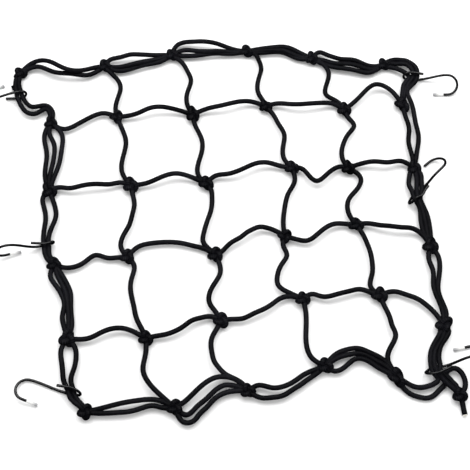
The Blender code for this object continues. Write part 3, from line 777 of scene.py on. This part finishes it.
def braided_polyester():
    """Tight black polyester braid over rubber: dull, with a faint grey sheen painted on the crowns of its
    picks as a paler colour.
    """
    cord = bpy.context.scene.cargo_net_cord
    made, tree = new_finish("braided_polyester")
    uv = add(tree, "ShaderNodeUVMap", uv_map="UVMap")
    place = add(tree, "ShaderNodeSeparateXYZ", {0: uv}).outputs
    around = add(tree, "ShaderNodeMath", {0: place["X"], 1: CARRIERS * TURN}, operation="MULTIPLY")
    along = add(tree, "ShaderNodeMath", {0: place["Y"], 1: PICKS * TURN}, operation="MULTIPLY")
    strands = []
    for way in ("ADD", "SUBTRACT"):
        slant = add(tree, "ShaderNodeMath", {0: around, 1: along}, operation=way)
        strands.append(add(tree, "ShaderNodeMath", {0: slant}, operation="SINE"))
    checks = add(tree, "ShaderNodeMath", {0: strands[0], 1: strands[1]}, operation="MULTIPLY")
    picks = add(tree, "ShaderNodeMath", {0: checks, 1: 0.5, 2: 0.5}, operation="MULTIPLY_ADD")
    position = add(tree, "ShaderNodeTexCoord").outputs["Object"]
    fibre = add(tree, "ShaderNodeTexNoise", {"Vector": position, "Scale": FIBRE_GRAIN, "Detail": 2.0})
    sheen_stretch_noise = add(tree, "ShaderNodeTexNoise", {"Vector": position, "Scale": SHEEN_STRETCHES, "Detail": 3.0})
    # painted sheen: a pick's crown is drawn paler in place of a highlight, more where the fibre noise is high
    # and in random stretches of the braid
    fibre_sheen = add(tree, "ShaderNodeMath", {0: fibre, 1: 0.9, 2: 0.3}, operation="MULTIPLY_ADD")
    crown = add(tree, "ShaderNodeMath", {0: picks, 1: fibre_sheen}, operation="MULTIPLY")
    sheen_stretches = add(tree, "ShaderNodeMath", {0: sheen_stretch_noise, 1: 1.2, 2: 0.2}, operation="MULTIPLY_ADD")
    gleam = add(tree, "ShaderNodeMath", {0: crown, 1: sheen_stretches}, operation="MULTIPLY")
    painted_sheen_flecks = add(tree, "ShaderNodeMath", {0: gleam, 1: 2.0}, operation="POWER")
    # painted sheen: the ground colour is mixed towards the paler sheen colour on the crowns
    tint = add(tree, "ShaderNodeMix", {0: painted_sheen_flecks, 6: cord.ground, 7: cord.gleam}, data_type="RGBA")
    height = add(tree, "ShaderNodeMath", {0: fibre, 1: 0.35, 2: picks}, operation="MULTIPLY_ADD")
    relief = add(tree, "ShaderNodeBump", {"Height": height, "Strength": 0.55, "Distance": 0.35 * MM})
    end_finish(
        tree,
        {"Base Color": tint.outputs[2], "Roughness": 0.4, "Specular IOR Level": 0.07, "Normal": relief},
    )
    return made


def natural_rubber():
    """Bare latex threads of the cord's core: warm white and slightly shiny."""
    made, tree = new_finish("natural_rubber")
    position = add(tree, "ShaderNodeTexCoord").outputs["Object"]
    spots = add(tree, "ShaderNodeTexNoise", {"Vector": position, "Scale": RUBBER_GRAIN, "Detail": 2.0})
    tint = add(
        tree, "ShaderNodeMix", {0: spots, 6: linear("d9d4c8"), 7: linear("f4f2ec")}, data_type="RGBA"
    )
    end_finish(tree, {"Base Color": tint.outputs[2], "Roughness": 0.5})
    return made


def dipped_steel_wire():
    """Steel wire dipped in black vinyl: smooth, glossy, with slow waves where the coat set."""
    hook = bpy.context.scene.cargo_net_hook
    made, tree = new_finish("dipped_steel_wire")
    position = add(tree, "ShaderNodeTexCoord").outputs["Object"]
    waves = add(tree, "ShaderNodeTexNoise", {"Vector": position, "Scale": COAT_WAVES, "Detail": 2.0})
    scuffs = add(tree, "ShaderNodeTexNoise", {"Vector": position, "Scale": COAT_SCUFFS, "Detail": 3.0})
    tint = add(tree, "ShaderNodeMix", {0: scuffs, 6: hook.coat, 7: hook.scuffed}, data_type="RGBA")
    rough = add(tree, "ShaderNodeMapRange", {"Value": scuffs, "To Min": 0.16, "To Max": 0.3})
    relief = add(tree, "ShaderNodeBump", {"Height": waves, "Strength": 0.25, "Distance": 0.25 * MM})
    end_finish(
        tree,
        {"Base Color": tint.outputs[2], "Roughness": rough, "Specular IOR Level": 0.5, "Normal": relief},
    )
    return made


def milky_vinyl():
    """Soft milky vinyl of a tip cap: it lets light through, and its nose has painted shade, drawn greyer."""
    hook = bpy.context.scene.cargo_net_hook
    made, tree = new_finish("milky_vinyl")
    position = add(tree, "ShaderNodeTexCoord").outputs["Object"]
    grain = add(tree, "ShaderNodeTexNoise", {"Vector": position, "Scale": VINYL_GRAIN, "Detail": 2.0})
    uv = add(tree, "ShaderNodeUVMap", uv_map="UVMap")
    along = add(tree, "ShaderNodeSeparateXYZ", {0: uv}).outputs["Y"]
    # painted shade: the nose is drawn greyer in place of the refraction and shadow in it, starting at half
    # the cap's girth from its lip and fully grey at the whole girth
    nose = add(tree, "ShaderNodeMapRange", {"Value": along, "From Min": 0.5, "From Max": 1.0})
    shade = add(tree, "ShaderNodeMath", {0: grain, 1: 0.2, 2: nose}, operation="MULTIPLY_ADD")
    tint = add(tree, "ShaderNodeMix", {0: shade, 6: hook.cap_wall, 7: hook.cap_nose}, data_type="RGBA")
    relief = add(tree, "ShaderNodeBump", {"Height": grain, "Strength": 0.15, "Distance": 0.1 * MM})
    end_finish(
        tree,
        {
            "Base Color": tint.outputs[2],
            "Roughness": 0.38,
            "IOR": 1.5,
            "Subsurface Weight": 0.3,
            "Subsurface Radius": (2 * MM, 2 * MM, 2 * MM),
            "Normal": relief,
        },
    )
    return made


def white_paper():
    """Plain pale paper of the studio floor, a little uneven in tone."""
    made, tree = new_finish("white_paper")
    position = add(tree, "ShaderNodeTexCoord").outputs["Object"]
    tone = add(tree, "ShaderNodeTexNoise", {"Vector": position, "Scale": PAPER_TONE, "Detail": 2.0})
    tint = add(
        tree, "ShaderNodeMix", {0: tone, 6: linear("f2f2f2"), 7: linear("f6f6f6")}, data_type="RGBA"
    )
    end_finish(tree, {"Base Color": tint.outputs[2], "Roughness": 0.9, "Specular IOR Level": 0.1})
    return made


def finish(maker):
    """A finish made once and shared by every piece of its kind."""
    return bpy.data.materials.get(maker.__name__) or maker()


# ---------------------------------------------------------------- operators
class MakeCords(bpy.types.Operator):
    """Lays every braided cord of the net from knot to knot and through the hooks' eyes"""

    bl_idname = "cargo_net.make_cords"
    bl_label = "Cords"

    def execute(self, context):
        cord = context.scene.cargo_net_cord
        routes = [cord_route(row) for row in CORDS]
        routes += [eye_route(row) for row in EYE_CORDS]
        routes += [loop_route(row) for row in LOOPS]
        paths = [smooth(in_frame(route), cord.step) for route in routes]
        thickness = [1.0] * sum(len(path) for path in paths)
        made = guide("net_cords", paths, {"thickness": thickness})
        tree = sweep_tree("laid_cords", finish(braided_polyester))
        grown(made, tree, Radius=cord.radius, Sides=cord.sides)
        dress(made, "braided_cord", "net")
        return {"FINISHED"}


class MakeKnots(bpy.types.Operator):
    """Ties a knot wherever two cords of the net cross or meet the border"""

    bl_idname = "cargo_net.make_knots"
    bl_label = "Knots"

    def execute(self, context):
        cord = context.scene.cargo_net_cord
        knot = context.scene.cargo_net_knot
        places = in_frame([(x, y, KNOT_Z) for x, y, _ in KNOTS.values()]) + (0, 0, knot.lift)
        drawn_out = [DRAWN_OUT.get(name, (1, 0)) for name in KNOTS]
        # the tied cord has one loop along its own y axis, backwards, and draws out along that axis
        turns = [
            math.radians(first + 90 + LOOP_TURN_DEG * loop)
            for (*_, first), (_, loop) in zip(KNOTS.values(), drawn_out, strict=True)
        ]
        values = {"turn": turns, "drawn_out": [times for times, _ in drawn_out]}
        made = guide("net_knots", [[place] for place in places], values)
        inputs = {
            "Loop radius": knot.loop_radius,
            "Loop rise": knot.loop_rise,
            "Cord radius": cord.radius,
            "Sides": cord.sides,
            "Tilt": knot.tilt,
            "Unevenness": knot.unevenness,
            "Seed": knot.seed,
        }
        grown(made, knot_tree(finish(braided_polyester)), **inputs)
        dress(made, "braided_cord", "net")
        return {"FINISHED"}


class MakeCordEnds(bpy.types.Operator):
    """Shows the rubber threads in the border cord's cut end"""

    bl_idname = "cargo_net.make_cord_ends"
    bl_label = "Cut ends"

    def execute(self, context):
        cord = context.scene.cargo_net_cord
        thread = cord.radius / THREAD_FIT
        places = []
        directions = []
        for row in LOOPS:
            if row[-1] != "cut":
                continue
            path = smooth(in_frame(loop_route(row)), cord.step)
            ahead = Vector(path[-1] - path[-2]).normalized()
            side = ahead.cross(Vector((0, 0, 1))).normalized()
            up = side.cross(ahead)
            for ring in range(THREAD_RINGS):
                count = max(1, 6 * ring)
                for i in range(count):
                    angle = TURN * i / count
                    out = (side * math.cos(angle) + up * math.sin(angle)) * ring * THREAD_PITCH * thread
                    places.append(Vector(path[-1]) + out)
                    directions.append(ahead)
        made = guide("cord_cut_ends", [[place] for place in places])
        ahead = made.data.attributes.new("ahead", "FLOAT_VECTOR", "POINT")
        ahead.data.foreach_set("vector", [x for direction in directions for x in direction])
        inputs = {"Thread radius": thread, "Thread length": THREAD_LENGTH * MM}
        grown(made, thread_tree(finish(natural_rubber)), **inputs)
        dress(made, "braided_cord")
        return {"FINISHED"}


class MakeHooks(bpy.types.Operator):
    """Bends each wire hook round the border and out to its open end"""

    bl_idname = "cargo_net.make_hooks"
    bl_label = "Hooks"

    def execute(self, context):
        hook = context.scene.cargo_net_hook
        tree = sweep_tree("bent_wire", finish(dipped_steel_wire))
        for index, row in enumerate(HOOKS, start=1):
            path = smooth(in_frame(hook_route(row)), WIRE_STEP * hook.wire_radius)
            distance = np.concatenate([[0], np.cumsum(np.linalg.norm(np.diff(path, axis=0), axis=1))])
            to_end = np.minimum(distance, distance[-1] - distance) / hook.wire_radius
            # the coat closes round over both cut ends
            round_off = np.sqrt(1 - (1 - np.clip(to_end, WIRE_END, 1)) ** 2)
            made = guide(f"hook_wire_{index}", [path], {"thickness": round_off})
            grown(made, tree, Radius=hook.wire_radius, Sides=WIRE_SIDES)
            dress(made, "coated_wire", f"hook_{index}")
        return {"FINISHED"}


class MakeHookCaps(bpy.types.Operator):
    """Pushes a milky cap over the tips of the hooks that have one"""

    bl_idname = "cargo_net.make_hook_caps"
    bl_label = "Tip caps"

    def execute(self, context):
        hook = context.scene.cargo_net_hook
        tree = sweep_tree("tip_cap", finish(milky_vinyl))
        stations = smooth([(s, share, 0) for s, share in CAP_PROFILE], CAP_STEP)
        thickness = [share for _, share, _ in stations]
        for index, row in enumerate(HOOKS, start=1):
            if not row[-1]:
                continue
            path = in_frame(hook_route(row))
            end = Vector(path[-1])
            ahead = (end - Vector(path[-2])).normalized()
            line = [end + ahead * (CAP_GAP + s) * MM for s, _, _ in stations]
            made = guide(f"hook_tip_{index}", [line], {"thickness": thickness})
            grown(made, tree, Radius=hook.cap_radius, Sides=CAP_SIDES)
            dress(made, "cap_plastic", f"hook_cap_{index}")
        return {"FINISHED"}


class MakeStage(bpy.types.Operator):
    """Sets the pale floor, the soft lamps and the camera"""

    bl_idname = "cargo_net.make_stage"
    bl_label = "Stage"

    def execute(self, context):
        stage = context.scene.cargo_net_stage
        bpy.ops.mesh.primitive_grid_add(
            x_subdivisions=FLOOR_CELLS, y_subdivisions=FLOOR_CELLS, size=FLOOR_SIZE
        )
        floor = context.object
        floor.name = "floor"
        for vert in floor.data.vertices:
            vert.co.z = FLOOR_Z
        floor.data.materials.append(white_paper())
        # black cord and wire mirror only the lamps, as between dark studio screens
        floor.visible_glossy = False

        world = bpy.data.worlds.new("studio")
        world.use_nodes = True
        sky = world.node_tree.nodes["Background"]
        join(world.node_tree, sky, {"Color": linear("ffffff"), "Strength": stage.sky})
        world.cycles_visibility.glossy = False
        context.scene.world = world
        context.scene.view_settings.view_transform = "Standard"

        aim = Vector(LOOK_AT)
        right, back, up = LAMP_AT
        for side in (-1, 1):
            data = bpy.data.lights.new("softbox", "AREA")
            data.shape = "SQUARE"
            data.size = LAMP_SIZE
            data.energy = stage.side_light
            lamp = bpy.data.objects.new("softbox", data)
            lamp.location = aim + Vector((right * side, back, up))
            lamp.rotation_euler = (aim - lamp.location).to_track_quat("-Z", "Y").to_euler()
            context.scene.collection.objects.link(lamp)

        data = bpy.data.cameras.new("camera")
        data.sensor_width = SENSOR / MM
        data.lens = SENSOR / MM / 2 / math.tan(HALF_VIEW)
        camera = bpy.data.objects.new("camera", data)
        away = Vector((0, -math.cos(VIEW_ELEVATION), math.sin(VIEW_ELEVATION)))
        camera.location = aim + away * VIEW_DISTANCE
        camera.rotation_euler = (math.pi / 2 - VIEW_ELEVATION, 0, 0)
        context.scene.collection.objects.link(camera)
        context.scene.camera = camera
        return {"FINISHED"}


class CargoNetPanel(bpy.types.Panel):
    """Lists what makes the net"""

    bl_idname = "VIEW3D_PT_cargo_net"
    bl_label = "Cargo net"
    bl_space_type = "VIEW_3D"
    bl_region_type = "UI"
    bl_category = "Cargo net"

    def draw(self, context):
        for maker in OPERATORS:
            self.layout.operator(maker.bl_idname)
        for name in SETTINGS:
            box = self.layout.box()
            group = getattr(context.scene, name)
            for prop in group.__annotations__:
                box.prop(group, prop)


OPERATORS = (MakeCords, MakeKnots, MakeCordEnds, MakeHooks, MakeHookCaps, MakeStage)
SETTINGS = {
    "cargo_net_cord": CordSettings,
    "cargo_net_knot": KnotSettings,
    "cargo_net_hook": HookSettings,
    "cargo_net_stage": StageSettings,
}


def register():
    for kind in (*SETTINGS.values(), *OPERATORS, CargoNetPanel):
        bpy.utils.register_class(kind)
    for name, kind in SETTINGS.items():
        setattr(bpy.types.Scene, name, PointerProperty(type=kind))


def unregister():
    for name in SETTINGS:
        delattr(bpy.types.Scene, name)
    for kind in (CargoNetPanel, *reversed(OPERATORS), *reversed(list(SETTINGS.values()))):
        bpy.utils.unregister_class(kind)


def main():
    register()
    bpy.ops.cargo_net.make_stage()
    bpy.ops.cargo_net.make_cords()
    bpy.ops.cargo_net.make_knots()
    bpy.ops.cargo_net.make_cord_ends()
    bpy.ops.cargo_net.make_hooks()
    bpy.ops.cargo_net.make_hook_caps()


if __name__ == "__main__":
    main()
